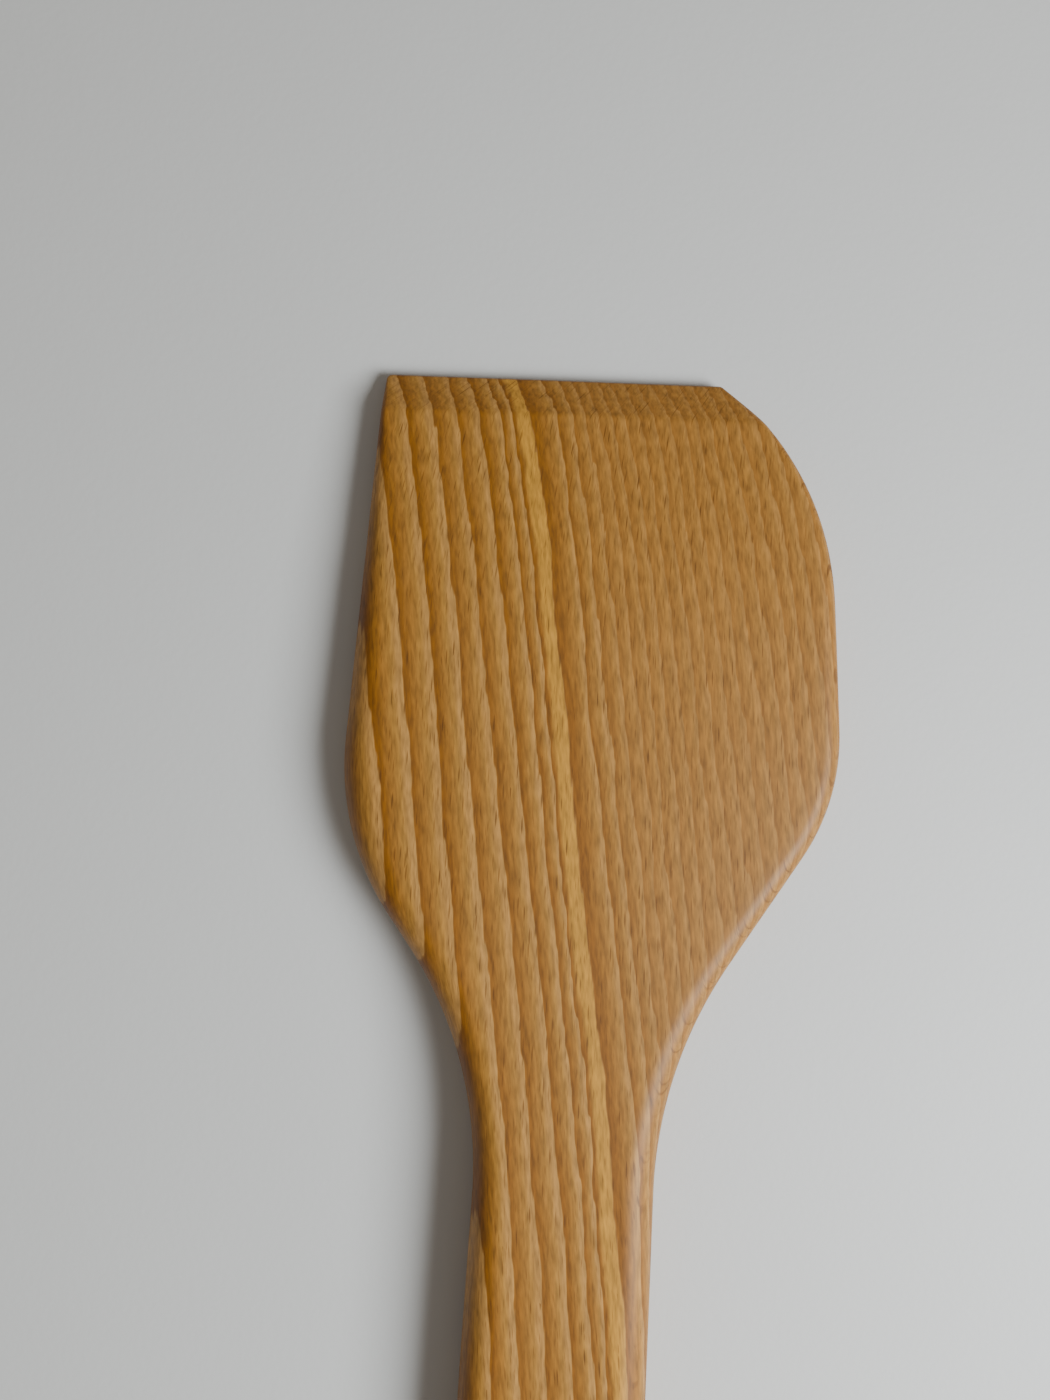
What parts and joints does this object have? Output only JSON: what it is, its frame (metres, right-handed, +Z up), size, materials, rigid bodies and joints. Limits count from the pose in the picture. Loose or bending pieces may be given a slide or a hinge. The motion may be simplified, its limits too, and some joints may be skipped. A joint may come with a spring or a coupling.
{
  "type": "pan turner",
  "caption": "Flat beech pan turner with a bevelled front edge, a square corner and a rounded corner, rounded edges and a hanging hole in the handle.",
  "frame": {"origin": "middle of the outline, on the flat back that the turner rests on", "axes": "+Y from the handle towards the front edge, +Z up out of the bevelled face, +X to the right of the handle seen from above"},
  "size_m": [0.0662, 0.3002, 0.011],
  "materials": {
    "oiled_beech": "oiled, satin"
  },
  "bodies": {
    "root": {"pan_turner": "oiled_beech"}
  },
  "joints": []
}
